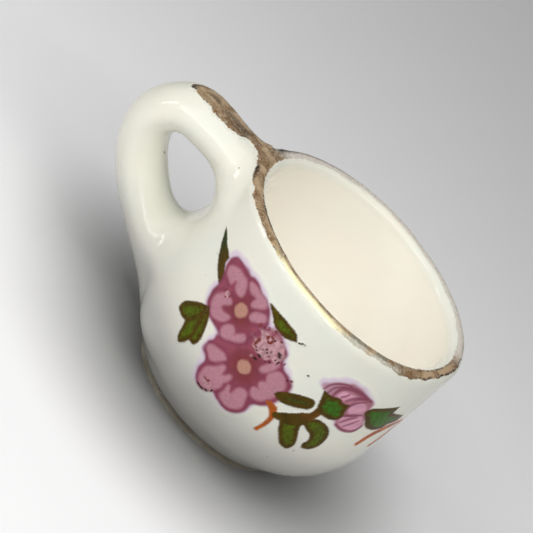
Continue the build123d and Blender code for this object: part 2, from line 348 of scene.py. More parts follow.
def surface_net(step, low, high):
    """The zero level of surface() as a closed mesh of quads, moved onto the exact level."""
    axes = [np.arange(a, b, step) for a, b in zip(low, high)]
    x, y, z = np.meshgrid(*axes, indexing="ij")
    field = surface(x.ravel(), y.ravel(), z.ravel()).reshape(x.shape)
    cells = tuple(n - 1 for n in field.shape)
    total = np.zeros((np.prod(cells), 3))
    count = np.zeros(np.prod(cells))
    quads = []
    for axis in range(3):
        first = [slice(None)] * 3
        second = [slice(None)] * 3
        first[axis], second[axis] = slice(None, -1), slice(1, None)
        a, b = field[tuple(first)], field[tuple(second)]
        at = np.argwhere((a < 0) != (b < 0))
        va, vb = a[tuple(at.T)], b[tuple(at.T)]
        point = at.astype(float)
        point[:, axis] += va / (va - vb)
        u, v = (axis + 1) % 3, (axis + 2) % 3
        ring = []
        for du, dv in ((0, 0), (-1, 0), (-1, -1), (0, -1)):
            cell = at.copy()
            cell[:, u] += du
            cell[:, v] += dv
            flat = np.ravel_multi_index(tuple(cell.T), cells)
            ring.append(flat)
            for c in range(3):
                total[:, c] += np.bincount(flat, point[:, c], len(count))
            count += np.bincount(flat, minlength=len(count))
        quad = np.stack(ring, 1)
        flip = va < 0
        quad[flip] = quad[flip][:, ::-1]
        quads.append(quad[:, ::-1])
    used, quads = np.unique(np.concatenate(quads), return_inverse=True)
    verts = total[used] / count[used][:, None] * step + np.array(low)
    for _ in range(3):
        f = surface(*verts.T)
        g = gradient(*verts.T)
        move = g * (f / np.maximum((g**2).sum(1), 0.05))[:, None]
        verts -= np.clip(move, -step, step)
    return verts, quads.reshape(-1, 4)


def grid_cells(index):
    """The quads between the rows and columns of a grid of point numbers."""
    return np.stack((index[:-1, :-1], index[1:, :-1], index[1:, 1:], index[:-1, 1:]), -1).reshape(-1, 4)


def shell(name, front, back, quads, colours):
    """A closed thin piece with crisp edges and the colour attribute "ink". The sheets front and back, and
    colours, hold only the points that quads use, in the order of their numbers."""
    quads = np.unique(quads, return_inverse=True)[1].reshape(-1, 4)
    n = len(front)
    start = quads.ravel()
    end = np.roll(quads, -1, 1).ravel()
    forward = start * (2 * n) + end
    edge = ~np.isin(forward, end * (2 * n) + start)
    a, b = start[edge], end[edge]
    rim = np.stack((b, a, a + n, b + n), 1)
    faces = np.concatenate((quads, quads[:, ::-1] + n, rim))
    piece = new_mesh(name, np.concatenate((front, back)), faces)
    mesh = piece.data
    ends = np.zeros(len(mesh.edges) * 2, int)
    mesh.edges.foreach_get("vertices", ends)
    ends = np.sort(ends.reshape(-1, 2), 1)
    keys = ends[:, 0] * (2 * n) + ends[:, 1]
    low, high = np.minimum(a, b), np.maximum(a, b)
    crisp_keys = np.concatenate((low * (2 * n) + high, (low + n) * (2 * n) + high + n))
    crisp = np.isin(keys, crisp_keys)
    mesh.attributes.new("sharp_edge", "BOOLEAN", "EDGE").data.foreach_set("value", crisp)
    layer = mesh.color_attributes.new("ink", "FLOAT_COLOR", "POINT")
    layer.data.foreach_set("color", np.concatenate((colours, colours)).astype(np.float32).ravel())
    return piece


# ---- the glaze coat
step = 0.145
room = 3 * step
low = (handle_low[0] - room, -MOUTH - room, BASE - room)
high = (MOUTH + room, MOUTH + room, TOP + room)
verts, quads = surface_net(step, low, high)
glaze_coat = new_mesh("glaze_coat", verts, quads)


# ---- places on the glaze
def wall_points(girth, height, lift):
    """Points over the outside wall at a girth and height, a lift above the glaze."""
    angle = girth / MOUTH
    side, front = np.sin(angle), -np.cos(angle)
    r = np.full(girth.shape, MOUTH + 0.05)
    for _ in range(14):
        r -= 0.8 * (surface(r * side, r * front, height) - lift)
    return np.stack((r * side, r * front, height), 1)


# ---- the printed flowers
# The inks as they look on the glaze
ROSE_EDGE = linear(126, 58, 82)
ROSE_WASH = linear(146, 74, 92)
ROSE_DEEP = linear(124, 56, 62)
ROSE_PALE = linear(184, 131, 146)
LILAC = linear(208, 180, 218)
PEACH = linear(182, 134, 118)
OLIVE = linear(74, 56, 2)
LEAF_GREEN = linear(76, 94, 10)
DARK_GREEN = linear(46, 60, 14)
BUD_GREEN = linear(52, 104, 18)
TWIG_BROWN = linear(94, 60, 10)
ORANGE = linear(172, 88, 30)
SOOT = linear(40, 20, 16)
RUST = linear(112, 36, 26)
TENDRIL_HAZE = linear(236, 190, 180)
BLISTER = linear(190, 148, 154)
BUD_PINK = linear(214, 158, 180)


def blend_ink(paint, colour, cover):
    """Lays one ink over what is already painted. paint is (colours, cover)."""
    under, had = paint
    cover = np.clip(cover, 0, 1)
    both = cover + had * (1 - cover)
    weight = np.where(both > 1e-6, cover / np.maximum(both, 1e-6), 0)[:, None]
    return fade(under, np.asarray(colour), weight), both


def closed(*points, sharp=()):
    """A smooth closed outline through places on the wall, each a girth and a height in mm."""
    return smooth_line(points, True, sharp, 8)


# Outlines on the wall, each point a girth and a height in mm
EYE = 0.4
HEARTS = {"upper_blossom": (-2.53, 8.7), "lower_blossom": (-0.06, 6.76)}
BLOSSOMS = {
    "upper_blossom": closed((-5.42, 9.7), (-5.15, 10.15), (-4.5, 10.36), (-3.7, 10.36), (-3.35, 10.52),
        (-2.7, 10.5), (-1.9, 10.3), (-1.35, 10), (-0.8, 9.5), (-0.85, 8.6), (-1, 7.6), (-1.15, 6.8),
        (-1.7, 6.5), (-2.4, 6.75), (-3.2, 6.82), (-3.85, 6.92), (-4.35, 7.2), (-4.62, 7.8), (-4.66, 8.45),
        (-5, 8.95), (-5.3, 9.3)),
    "lower_blossom": closed((-2.45, 6.75), (-2.4, 6.35), (-2.5, 5.95), (-2.3, 5.42), (-1.8, 5.12),
        (-1.75, 4.6), (-1.45, 4.05), (-0.95, 3.8), (-0.45, 3.95), (-0.1, 4.32), (0.3, 4.18), (0.9, 4.05),
        (1.45, 4.3), (1.8, 4.85), (1.86, 5.55), (2.25, 5.9), (2.58, 6.45), (2.7, 7.2), (2.5, 7.9),
        (2.1, 8.3), (1.5, 8.45), (1.12, 8.8), (0.95, 9.25), (0.45, 9.6), (-0.25, 9.72), (-0.8, 9.45),
        (-1.1, 8.6), (-1.2, 7.6), (-1.9, 7)),
}
# The pale field of each petal
PALE_FIELDS = {
    "upper_blossom": [
        closed((-4.8, 9.57), (-4.23, 9.88), (-3.61, 9.85), (-3.14, 9.41), (-3.21, 9.19), (-3.6, 9.2),
            (-3.95, 9.42), (-4.16, 9.33), (-4.2, 9.1), (-4.66, 9.13), (-4.88, 9.34)),
        closed((-3.28, 10.12), (-2.5, 10.25), (-1.87, 10.08), (-1.85, 9.8), (-2.2, 9.45), (-2.37, 9.5),
            (-2.43, 9.85), (-2.62, 9.92), (-2.88, 9.82), (-3.21, 9.95)),
        closed((-1.93, 9.2), (-1.5, 9.6), (-1.19, 9.55), (-1.31, 9.24), (-1.7, 8.93), (-1.95, 8.95)),
        closed((-4.16, 7.85), (-3.9, 8.3), (-3.4, 8.5), (-3.25, 8.35), (-3.5, 7.98), (-3.48, 7.73),
            (-3.14, 7.72), (-2.69, 7.9), (-2.69, 7.62), (-3.01, 7.28), (-3.41, 7.13), (-3.85, 7.35)),
        closed((-2.37, 7.5), (-2.15, 7.68), (-1.9, 7.57), (-1.76, 7.36), (-1.6, 7.67), (-1.42, 7.95),
            (-1.2, 7.8), (-1.08, 7.38), (-1.2, 6.98), (-1.62, 6.76), (-2.1, 6.84), (-2.37, 7.11)),
    ],
    "lower_blossom": [
        closed((-2.2, 5.85), (-1.93, 6.1), (-1.43, 6.26), (-1.06, 6.24), (-1.25, 5.88), (-1.62, 5.56),
            (-1.99, 5.62)),
        closed((-1.31, 5), (-0.95, 5.72), (-0.72, 5.85), (-0.64, 5.5), (-0.42, 5.5), (-0.22, 5.75),
            (-0.12, 5.55), (-0.27, 5.19), (-0.21, 4.7), (-0.46, 4.27), (-0.96, 4.09), (-1.34, 4.44)),
        closed((0.15, 5.32), (0.36, 5), (0.6, 5.1), (0.74, 5.68), (1.07, 5.74), (1.33, 5.34),
            (1.34, 4.79), (0.95, 4.44), (0.46, 4.46), (0.18, 4.84)),
        closed((1.45, 7.98), (1.95, 7.95), (2.25, 7.5), (2.25, 6.85), (1.98, 6.25), (1.6, 5.95),
            (1.25, 6), (1.12, 6.35), (1.5, 6.52), (1.15, 6.78), (1.42, 7.12), (1.2, 7.5)),
        closed((0.75, 8), (1.1, 8.3), (1.05, 7.8), (0.8, 7.4), (0.55, 7.45)),
    ],
}
# Leaves: each blade's outline, how wide its dark edge is, and its green
LEAVES = {
    "spear_leaf": [(closed((-7.5, 10.02), (-6.85, 9.93), (-6.2, 9.76), (-5.5, 9.62), (-5.3, 9.2),
        (-4.55, 8.7), (-4.6, 8.35), (-5.15, 8.5), (-5.8, 8.82), (-6.62, 9.38), sharp=(0,)), 0.5,
        DARK_GREEN)],
    "side_leaf": [
        (closed((-3.95, 7.15), (-4.59, 6.7), (-5.2, 6), (-5.22, 5.5), (-4.8, 5.36), (-4.25, 5.45),
            (-3.7, 6.1), sharp=(0,)), 0.32, LEAF_GREEN),
        (closed((-3.95, 7.15), (-3.48, 6.85), (-3.08, 6.25), (-2.8, 5.63), (-2.85, 5.1), (-3.24, 5.07),
            (-3.6, 5.7), sharp=(0, 4)), 0.28, LEAF_GREEN),
        (closed((-3.9, 6.6), (-4.26, 5.6), (-4.09, 5.05), (-3.84, 4.52), (-3.55, 4.43), (-3.28, 4.87),
            (-3.3, 5.6)), 0.26, LEAF_GREEN),
    ],
    "rim_leaf": [(closed((-1.75, 10.4), (-1, 10.48), (-0.2, 10.5), (0.46, 10.45), (0.8, 10.1),
        (0.4, 9.84), (-0.1, 9.68), (-0.7, 9.76), (-1.1, 10.02), sharp=(4,)), 0.26, LEAF_GREEN)],
    "oval_leaf": [(closed((2.14, 6.92), (2.25, 7.27), (2.71, 7.65), (3.37, 8), (3.95, 8.16), (4.22, 7.87),
        (4.15, 7.48), (3.77, 7.22), (3.23, 6.95), (2.65, 6.8)), 0.42, DARK_GREEN * 1.6)],
    "right_hanging_leaf": [(closed((4.5, 6.7), (4.98, 7.22), (5.68, 7.24), (6.3, 6.9), (6.6, 6.3),
        (6.58, 5.68), (6.28, 5.28), (5.8, 5.12), (5.64, 5.44), (5.72, 5.78), (5.48, 6.15), (5, 6.35),
        sharp=(7,)), 0.3, LEAF_GREEN)],
    "left_hanging_leaf": [(closed((3.9, 6.35), (4.5, 6.5), (4.85, 5.95), (5.24, 5.38), (5.36, 5),
        (5.16, 4.6), (4.6, 4.68), (4.15, 5.08), (3.72, 5.55), (3.5, 6.05)), 0.32, LEAF_GREEN * 1.1)],
    "bud_calyx": [(closed((3.88, 9.04), (4.5, 9), (4.98, 9.14), (5.35, 8.98), (5.78, 9.08), (5.88, 8.62),
        (6.08, 8.2), (5.92, 7.76), (5.44, 7.6), (4.88, 7.66), (4.42, 7.92), (4.15, 8.47), sharp=(0, 4)),
        0.36, BUD_GREEN)],
    "tip_leaf": [(closed((8.95, 10.1), (8.98, 9.5), (9.9, 9.35), (10.45, 9.2), (10.5, 8.8), (9.75, 8.5),
        (9.5, 8.1), (8.86, 7.92), (8.11, 8.04), (7.42, 8.62), (7, 9.07), (7.2, 9.47), (7.89, 9.75),
        sharp=(0, 1)), 0.36, BUD_GREEN)],
}
# Strokes: a path, the half widths along it, and the ink
STROKES = {
    "twig": [(smooth_line(((4.7, 7.95), (4.66, 7.3), (4.4, 6.8), (3.9, 6.35), (3.1, 6))), (0.24, 0.26,
        0.46, 0.42, 0.2), TWIG_BROWN)],
    "tendril": [(smooth_line(((2.3, 6.3), (2.7, 6.2), (3.02, 5.75), (3.06, 5.2), (2.96, 4.6))), (0.14, 0.24,
        0.15, 0.13, 0.12), ORANGE)],
    "trailing_tendrils": [
        (smooth_line(((11.3, 8.5), (10.2, 8.25), (9.6, 7.75), (9.3, 7.3), (9.02, 6.65))), (0.2, 0.26, 0.26,
            0.24, 0.2), ORANGE),
        (smooth_line(((11.9, 8), (11.3, 7.5), (11.1, 6.9), (10.7, 6.4))), (0.2, 0.26, 0.26, 0.2), ORANGE),
    ],
}
BUD_OUTLINE = closed((3.55, 9.2), (3.91, 9.75), (4.4, 10.15), (5.1, 10.36), (5.9, 10.2), (6.85, 9.85),
    (7.12, 9.34), (7.4, 8.7), (7.82, 8.06), (7.6, 7.42), (6.88, 7.26), (6.1, 7.5), (5.4, 8.4), (4.6, 8.8))
BUD_FIELDS = (
    closed((4.75, 9.15), (4.8, 9.6), (5.3, 9.7), (5.8, 9.72), (5.6, 9.3), (5.3, 9.15)),
    closed((5.9, 9.3), (6.2, 9.62), (6.75, 9.4), (6.95, 8.95), (6.75, 8.6), (6.25, 8.5), (5.95, 8.85)),
    closed((6.15, 8.2), (6.65, 8.42), (7.1, 8.68), (7.6, 8.2), (7.62, 7.75), (7.05, 7.48), (6.4, 7.56),
        (6.12, 7.85)),
)
BUD_STROKES = tuple(
    (smooth_line(points), widths)
    for points, widths in (
        (((3.8, 9.1), (3.95, 9.6), (4.45, 10.02), (4.9, 10.16)), (0.05, 0.07, 0.07, 0.04)),
        (((4.15, 9.05), (4.22, 9.5), (4.62, 9.92)), (0.04, 0.06, 0.04)),
        (((4.5, 9), (4.55, 9.6), (4.95, 9.98), (5.7, 10.05), (6.7, 9.86)), (0.07, 0.1, 0.14, 0.14, 0.08)),
        (((5.4, 9.2), (5.75, 9.62), (6.3, 9.85)), (0.08, 0.13, 0.08)),
        (((5, 9.25), (5.15, 9.45), (5.2, 9.65)), (0.06, 0.06, 0.04)),
        (((5.85, 8.35), (5.82, 8.9), (6.05, 9.4), (6.5, 9.7)), (0.07, 0.1, 0.08, 0.04)),
        (((6.2, 8.3), (6.6, 8.55), (6.95, 8.75)), (0.1, 0.12, 0.05)),
        (((6.3, 7.75), (6.6, 8.2), (6.9, 8.5)), (0.06, 0.09, 0.05)),
        (((6.7, 7.6), (7, 8), (7.2, 8.35)), (0.04, 0.06, 0.03)),
        (((6.2, 7.5), (6.9, 7.34), (7.6, 7.5), (7.78, 8)), (0.08, 0.09, 0.09, 0.05)),
    )
)
# Stray specks: each one's middle and radius
SPECKS = (
    ((0.93, 10.18), 0.06), ((1.05, 10.27), 0.07), ((1.2, 10.36), 0.05), ((2.63, 9.13), 0.07),
    ((2.05, 8.08), 0.06), ((0.1, 3.62), 0.05),
)
# The blistered patches: each one's middle, half length, half height and strength
BLISTERS = (((0.02, 8.66), 1, 1, 0.9), ((-3.82, 8.5), 0.26, 0.22, 0.7), ((-0.8, 4.35), 0.42, 0.3, 0.5))
# Marks on and near them: each one's middle, half length, half height and ink
MARKS = (
    ((-0.42, 9.04), 0.07, 0.12, RUST), ((-0.08, 9), 0.08, 0.12, RUST), ((-0.24, 9.2), 0.12, 0.06, RUST),
    ((-0.2, 8.86), 0.12, 0.06, RUST), ((-0.02, 9.2), 0.05, 0.06, SOOT), ((-0.66, 8.5), 0.09, 0.16, RUST),
    ((-0.64, 8.24), 0.06, 0.12, RUST), ((-0.5, 8.1), 0.09, 0.04, RUST), ((0.68, 8.86), 0.11, 0.07, SOOT),
    ((0.78, 8.74), 0.06, 0.08, SOOT), ((0.98, 8.42), 0.025, 0.14, SOOT), ((0.77, 8.42), 0.05, 0.05, SOOT),
    ((0.64, 8.08), 0.05, 0.05, SOOT), ((0.45, 7.92), 0.03, 0.03, SOOT), ((0, 7.9), 0.12, 0.045, SOOT),
    ((-0.02, 7.6), 0.11, 0.05, SOOT), ((0.02, 8.5), 0.035, 0.08, SOOT), ((0.16, 8.36), 0.03, 0.05, SOOT),
    ((0.3, 8.55), 0.03, 0.09, SOOT), ((-0.12, 8.3), 0.04, 0.03, SOOT), ((0.4, 8.3), 0.03, 0.04, RUST),
    ((-0.3, 8), 0.05, 0.03, SOOT), ((-1.2, 9.16), 0.1, 0.14, ROSE_DEEP),
    ((-0.92, 9.25), 0.04, 0.05, RUST), ((-0.75, 9.45), 0.06, 0.04, ROSE_DEEP),
    ((-0.35, 9.62), 0.1, 0.04, RUST), ((0.25, 9.42), 0.05, 0.04, RUST), ((2.25, 8.2), 0.1, 0.07, ROSE_DEEP),
    ((1.28, 8.62), 0.03, 0.12, ROSE_EDGE), ((-4.02, 8.55), 0.05, 0.12, ROSE_DEEP),
    ((-3.72, 8.32), 0.05, 0.05, RUST), ((-3.58, 8.55), 0.05, 0.07, ROSE_DEEP),
    ((-0.96, 4.53), 0.16, 0.045, ROSE_DEEP), ((-0.8, 4.6), 0.05, 0.05, ROSE_DEEP),
    ((-1.05, 3.93), 0.12, 0.045, SOOT), ((-0.78, 3.92), 0.09, 0.05, SOOT),
    ((-0.5, 4.05), 0.09, 0.045, SOOT), ((-0.28, 4.3), 0.04, 0.09, SOOT),
)


def stroke_distance(x, y, line, widths):
    """Distance to a brush stroke, negative inside."""
    far, place = segment_distance(x, y, line[:-1], line[1:])
    return far - np.interp(place, np.linspace(0, 1, len(widths)), widths)


def near_distance(x, y, outline, reach=0.6):
    """outline_distance where it matters, and far away elsewhere."""
    out = np.full(x.shape, 9.0)
    low, high = outline.min(0) - reach, outline.max(0) + reach
    pick = (x > low[0]) & (x < high[0]) & (y > low[1]) & (y < high[1])
    out[pick] = outline_distance(x[pick], y[pick], outline)
    return out


def paint_leaf(paint, x, y, name, fine):
    """A leaf: olive edges round blotchy green blades."""
    uneven = mottle(x, y, 0.16, 41)
    streaks = mottle(x * 1.6 + y * 0.5, y * 0.7 - x * 0.3, 0.12, 42)
    for outline, edge, green in LEAVES[name]:
        d = near_distance(x, y, outline) + 0.05 * (fine - 0.5)
        middle = ramp(edge * 0.5, edge * 1.25, -d + 0.14 * (uneven - 0.5))
        middle = (middle * (0.6 + 0.4 * ramp(0.2, 0.7, streaks)))[:, None]
        tone = (0.75 + 0.5 * streaks)[:, None]
        colour = fade(OLIVE * (0.8 + 0.4 * uneven[:, None]), green * tone, middle)
        if name == "spear_leaf":
            colour = fade(colour, DARK_GREEN * 0.8, ramp(-5.6, -6.8, x)[:, None])
        paint = blend_ink(paint, colour, ramp(0.06, -0.05, d))
    return paint


def paint_blossom(paint, x, y, name, fine):
    """A blossom: a rose wash with darker veins, pale fields and a peach eye."""
    wx, wy = (place + 0.14 * (mottle(x, y, 0.5, seed) - 0.5) for place, seed in ((x, 12), (y, 13)))
    whole = near_distance(wx, wy, BLOSSOMS[name])
    wash = fade(ROSE_WASH, ROSE_EDGE, 0.75 * ramp(0.34, 0.08, -whole)[:, None])
    near = np.hypot(x - HEARTS[name][0], y - HEARTS[name][1])
    wash = fade(wash, ROSE_DEEP, ramp(1.5, 0.5, near)[:, None])
    wash *= (0.88 + 0.24 * mottle(x, y, 0.3, 14))[:, None]
    paint = blend_ink(paint, wash, ramp(0.1, -0.16, whole))
    fields = [near_distance(wx, wy, field) for field in PALE_FIELDS[name]]
    for d in fields:
        vein = np.exp(-(((d - 0.26) / 0.09) ** 2)) * ramp(0.0, -0.1, whole)
        paint = blend_ink(paint, ROSE_EDGE, 0.5 * vein)
    for d in fields:
        paint = blend_ink(paint, ROSE_PALE * (0.9 + 0.2 * fine)[:, None], 0.9 * ramp(0.19, -0.03, d))
    eye = ramp(EYE + 0.09, EYE - 0.07, near + 0.08 * (mottle(x, y, 0.25, 15) - 0.5))
    return blend_ink(paint, PEACH * (0.92 + 0.16 * fine[:, None]), eye)


def paint_spray(x, y):
    """The whole print at places on the wall: colours, and how far ink covers the glaze."""
    paint = (np.tile(ROSE_PALE, (len(x), 1)), np.zeros(len(x)))
    fine = mottle(x, y, 0.07, 5)
    blot = mottle(x, y, 0.35, 6)
    # Lilac haze round the flowers, towards the upper left
    flowers = [(outline, 0.1, 0.1) for outline in BLOSSOMS.values()] + [(BUD_OUTLINE, 0.16, 0.14)]
    for outline, left, up in flowers:
        haze = near_distance(x + left, y - up, outline, 1.0) + 0.2 * (blot - 0.5)
        paint = blend_ink(paint, LILAC, 0.6 * ramp(0.26, -0.04, haze))
    for line, _, _ in STROKES["trailing_tendrils"]:
        haze = stroke_distance(x, y, line, (0.3, 0.3))
        paint = blend_ink(paint, TENDRIL_HAZE, 0.5 * ramp(0.25, 0.0, haze))
    for name in ("spear_leaf", "rim_leaf"):
        paint = paint_leaf(paint, x, y, name, fine)
    paint = paint_blossom(paint, x, y, "upper_blossom", fine)
    paint = paint_blossom(paint, x, y, "lower_blossom", fine)
    # The blistered petals
    pale = BLISTER * (0.62 + 0.7 * mottle(x, y, 0.11, 8)[:, None])
    for (across, up), long, high, strength in BLISTERS:
        d = np.hypot((x - across) / long, (y - up) / high) + 0.8 * (mottle(x, y, 0.3, 9) - 0.5)
        paint = blend_ink(paint, pale, strength * ramp(1.0, 0.7, d))
    for place, long, high, ink in MARKS:
        d = np.hypot((x - place[0]) / (long + 0.02), (y - place[1]) / (high + 0.02)) + 0.5 * (fine - 0.5)
        paint = blend_ink(paint, ink, 0.92 * ramp(1.2, 0.75, d))
    # The bud
    d = near_distance(x, y, BUD_OUTLINE, 1.0)
    colour = fade(ROSE_WASH, ROSE_PALE, 0.4) * (0.9 + 0.25 * blot[:, None])
    cover = ramp(0.14, -0.14, d + 0.1 * (blot - 0.5)) * (0.68 + 0.27 * ramp(3.6, 5.2, x))
    paint = blend_ink(paint, colour, cover)
    stripes = 0.86 + 0.28 * mottle(x * 0.75 - y * 0.66, (x + y) * 0.12, 0.11, 31)[:, None]
    for field in BUD_FIELDS:
        paint = blend_ink(paint, BUD_PINK * stripes, 0.92 * ramp(0.1, -0.08, near_distance(x, y, field)))
    for stroke in BUD_STROKES:
        paint = blend_ink(paint, ROSE_EDGE, 0.8 * ramp(0.07, -0.05, stroke_distance(x, y, *stroke)))
    for name in ("side_leaf", "oval_leaf", "right_hanging_leaf", "left_hanging_leaf"):
        paint = paint_leaf(paint, x, y, name, fine)
    for name in ("tendril", "trailing_tendrils", "twig"):
        for line, widths, ink in STROKES[name]:
            d = stroke_distance(x, y, line, widths) + 0.06 * (fine - 0.5)
            tone = (0.7 + 0.6 * blot)[:, None]
            colour = ink * tone
            if name == "twig":
                colour = fade(colour, OLIVE * tone, ramp(7.2, 6.6, y)[:, None])
            paint = blend_ink(paint, colour, ramp(0.07, -0.05, d))
    for name in ("bud_calyx", "tip_leaf"):
        paint = paint_leaf(paint, x, y, name, fine)
    for place, radius in SPECKS:
        d = np.hypot(x - place[0], y - place[1]) - radius + 0.08 * (fine - 0.5)
        paint = blend_ink(paint, SOOT, ramp(0.03, -0.03, d))
    return paint


def motif_distance(name, x, y):
    """Distance to a printed piece's own area, negative inside."""
    flower = name.removesuffix("_eye")
    if flower in BLOSSOMS:
        eye = np.hypot(x - HEARTS[flower][0], y - HEARTS[flower][1]) - EYE
        return eye if flower != name else np.maximum(outline_distance(x, y, BLOSSOMS[name]), -eye)
    if name == "rosebud":
        return outline_distance(x, y, BUD_OUTLINE)
    if name == "print_specks":
        return np.min([np.hypot(x - p[0], y - p[1]) - r for p, r in SPECKS], axis=0)
    if name in LEAVES:
        return np.min([outline_distance(x, y, blade[0]) for blade in LEAVES[name]], axis=0)
    return np.min([stroke_distance(x, y, line, widths) for line, widths, _ in STROKES[name]], axis=0)


# Each printed piece: the area it lies in (girths, then heights), how far its ink and haze reach past its
# outline, its lift and its material slot. Lifts differ where pieces cross.
PRINTS = {
    "spear_leaf": ((-7.7, -4.2, 8.2, 10.3), 0.1, 0.008, "leaf_enamel"),
    "rim_leaf": ((-2.0, 1.1, 9.4, 10.9), 0.1, 0.008, "leaf_enamel"),
    "upper_blossom": ((-6.3, -0.3, 6.0, 11.3), 0.5, 0.011, "rose_enamel"),
    "lower_blossom": ((-3.4, 3.4, 3.2, 10.3), 0.5, 0.014, "rose_enamel"),
    "upper_blossom_eye": ((-3.2, -1.8, 8.0, 9.5), 0.1, 0.022, "peach_enamel"),
    "lower_blossom_eye": ((-0.8, 0.7, 6.1, 7.6), 0.1, 0.022, "peach_enamel"),
    "side_leaf": ((-5.6, -2.6, 4.1, 7.5), 0.1, 0.019, "leaf_enamel"),
    "rosebud": ((2.9, 8.4, 6.8, 11.1), 0.5, 0.013, "rose_enamel"),
    "oval_leaf": ((1.8, 4.5, 6.5, 8.6), 0.1, 0.017, "leaf_enamel"),
    "right_hanging_leaf": ((4.0, 6.9, 4.8, 7.7), 0.1, 0.017, "leaf_enamel"),
    "left_hanging_leaf": ((3.2, 5.6, 4.3, 6.7), 0.1, 0.02, "leaf_enamel"),
    "tendril": ((1.9, 3.4, 4.2, 6.7), 0.1, 0.02, "orange_enamel"),
    "trailing_tendrils": ((8.7, 12.5, 6.2, 9.2), 0.1, 0.013, "orange_enamel"),
    "twig": ((2.6, 5.1, 5.6, 8.4), 0.1, 0.023, "olive_enamel"),
    "bud_calyx": ((3.4, 6.3, 7.2, 9.8), 0.1, 0.025, "leaf_enamel"),
    "tip_leaf": ((6.6, 10.4, 7.6, 10.7), 0.1, 0.019, "leaf_enamel"),
    "print_specks": ((0.2, 3.0, 3.4, 10.7), 0.1, 0.019, "rose_enamel"),
}
PRINT_DEPTH = 0.035  # from a printed piece's face to its back, which lies in the glaze
NUDGE = 0.01
pitch = 0.05
print_pieces = {}
for name, ((left, right, low, high), spread, lift, slot) in PRINTS.items():
    columns, rows = int((right - left) / pitch) + 1, int((high - low) / pitch) + 1
    girth, height = np.meshgrid(
        left + pitch * np.arange(columns), low + pitch * np.arange(rows), indexing="ij"
    )
    girth, height = girth.ravel(), height.ravel()
    far = motif_distance(name, girth, height)
    cells = grid_cells(np.arange(columns * rows).reshape(columns, rows))
    cells = cells[(far[cells] < spread).any(1)]
    used = np.unique(cells)
    # Points just outside are drawn onto the edge
    outside = used[far[used] > spread]
    for _ in range(2):
        x, y = girth[outside], height[outside]
        gx = (motif_distance(name, x + NUDGE, y) - motif_distance(name, x - NUDGE, y)) / (2 * NUDGE)
        gy = (motif_distance(name, x, y + NUDGE) - motif_distance(name, x, y - NUDGE)) / (2 * NUDGE)
        size = np.maximum(np.hypot(gx, gy), 0.3)
        move = np.clip(motif_distance(name, x, y) - spread, 0, pitch * 1.5)
        girth[outside] -= move * gx / size
        height[outside] -= move * gy / size
    x, y = girth[used], height[used]
    # The ink thins out to its edge
    thick = 0.001 + lift * ramp(spread, spread * 0.5, motif_distance(name, x, y))
    front, back = wall_points(x, y, thick), wall_points(x, y, lift - PRINT_DEPTH)
    colours, cover = paint_spray(x, y)
    ink = np.concatenate((colours, cover[:, None]), 1)
    shown = name if name == "print_specks" else name + "_print"
    print_pieces[name] = shell(shown, front, back, cells, ink)


# ---- gold lustre
GOLD_TAN = linear(222, 192, 154)
GOLD_BROWN = linear(146, 110, 70)
# A near-black for burnt lustre, also used for painted shade along the rim
GOLD_BURNT_AND_SHADE = linear(48, 34, 24)
# Painted highlight: the pale gold of the lit outer edge of the lip's gold at the front
GOLD_PAINTED_HIGHLIGHT = linear(252, 244, 196)
GOLD_ROSY = linear(226, 200, 176)
GOLD_GREY = linear(158, 158, 146)
GOLD_FAINT = linear(196, 186, 182)
GOLD_DEPTH = 0.02  # how deep a gold piece's back lies in the glaze


def trace(points, direction, lift, steps=40):
    """Moves points along unit directions to a lift above the glaze."""
    points = points.copy()
    for _ in range(steps):
        points -= direction * (0.9 * (surface(*points.T) - lift))[:, None]
    return points


def gold_tint(x, y, z, edge, dark):
    """Lustre's colour and cover at places whose distance in from its edge is edge."""
    coarse = mottle(x + 0.7 * z, y - 0.6 * z, 0.6, 51)
    medium = mottle(x - 0.5 * z, y + 0.8 * z, 0.17, 52)
    fine = mottle(x + 0.4 * z, y + 0.3 * z, 0.07, 53)
    light = np.clip(0.1 + 0.9 * ramp(0.2, 0.75, coarse) + 0.5 * (medium - 0.5), 0, 1)[:, None]
    burnt_and_shade = ramp(0.22, 0.02, edge) * ramp(0.42, 0.75, medium * 0.6 + coarse * 0.4)
    # dark adds burnt lustre and, along the rim behind the handle, painted shade
    burnt_and_shade = np.clip(burnt_and_shade + dark, 0, 1)[:, None]
    colour = fade(fade(GOLD_BROWN, GOLD_TAN, light), GOLD_BURNT_AND_SHADE, burnt_and_shade)
    worn = 0.7 + 0.3 * ramp(0.25, 0.5, fine + 0.3 * coarse)
    cover = ramp(-0.02, 0.05, edge + 0.06 * (fine - 0.5)) * worn
    return np.concatenate((colour, cover[:, None]), 1)


# The rim's gold, on a grid round the lip (turn) and across it (phi). Both are angles, turn from the front
# and phi round the lip's section: 0 faces out, 90 up and 180 in.
count = 1150
across = 34
turn = np.linspace(-math.pi, math.pi, count, endpoint=False)
cx, cy = np.sin(turn), -np.cos(turn)


def round_rim(size, seed):
    return mottle(MOUTH * cx, MOUTH * cy, size, seed)


